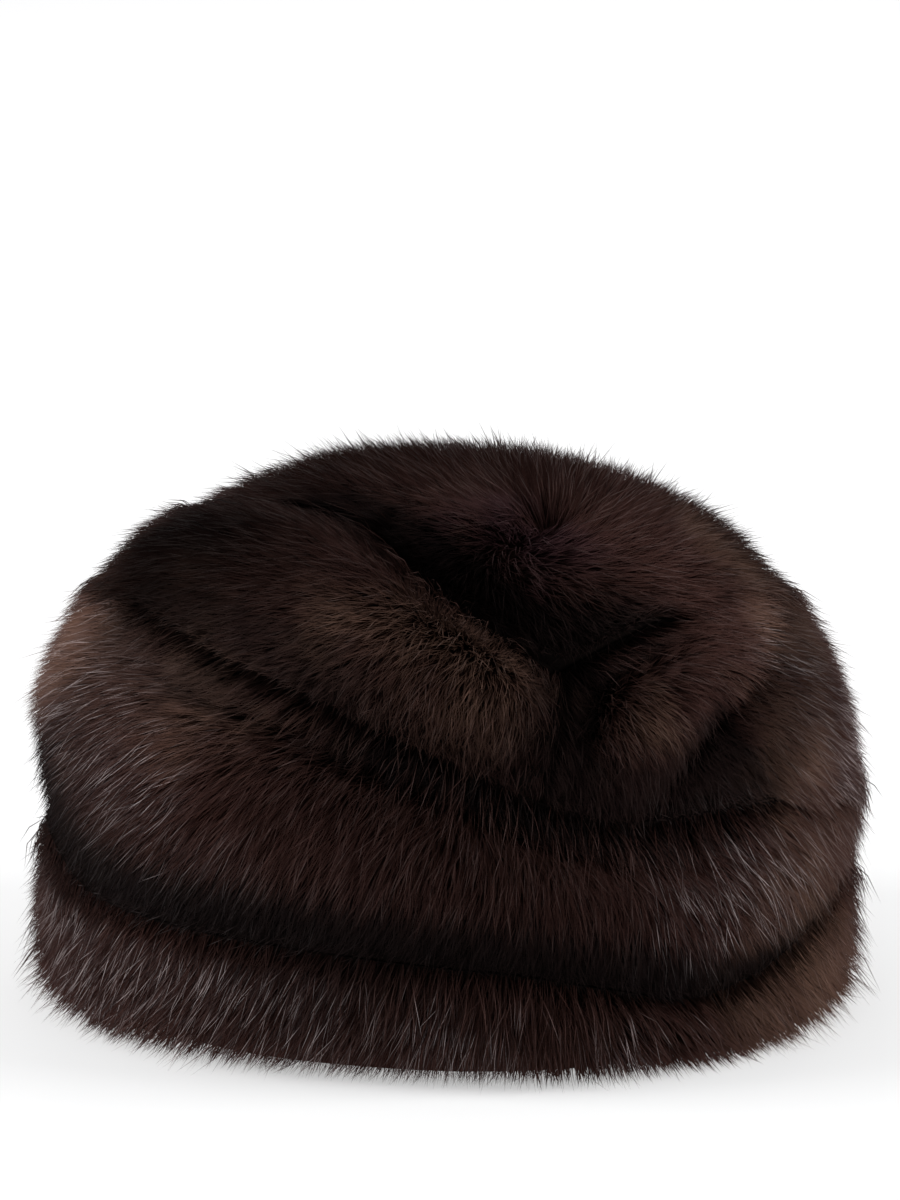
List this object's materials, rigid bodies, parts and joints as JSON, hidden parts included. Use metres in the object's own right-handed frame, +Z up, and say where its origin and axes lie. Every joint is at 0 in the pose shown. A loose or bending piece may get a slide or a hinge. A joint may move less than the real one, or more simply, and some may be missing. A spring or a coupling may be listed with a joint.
{
  "type": "fur turban",
  "caption": "Soft hollow turban of long dark fur: a brim band, a wide wrap band and draped folds gathered at the front under a low crown.",
  "frame": {"origin": "on the ground under the middle of the hat", "axes": "+Z up from the rim to the top of the crown, -Y towards the gathered front, +X to the side of the short pleat"},
  "size_m": [0.2714, 0.2656, 0.1703],
  "materials": {
    "crown_fur": "long dark brown fur with a faint sheen",
    "brim_fur": "long dark brown fur with silvery tips",
    "wrap_fur": "long dark brown fur with silvery tips",
    "drape_fur": "dense dark brown fur",
    "pleat_fur": "dense dark brown fur"
  },
  "bodies": {
    "root": {"crown": "crown_fur", "brim_band": "brim_fur", "wrap_band": "wrap_fur", "left_drape": "drape_fur", "centre_pleat": "pleat_fur", "right_drape": "drape_fur"}
  },
  "joints": []
}
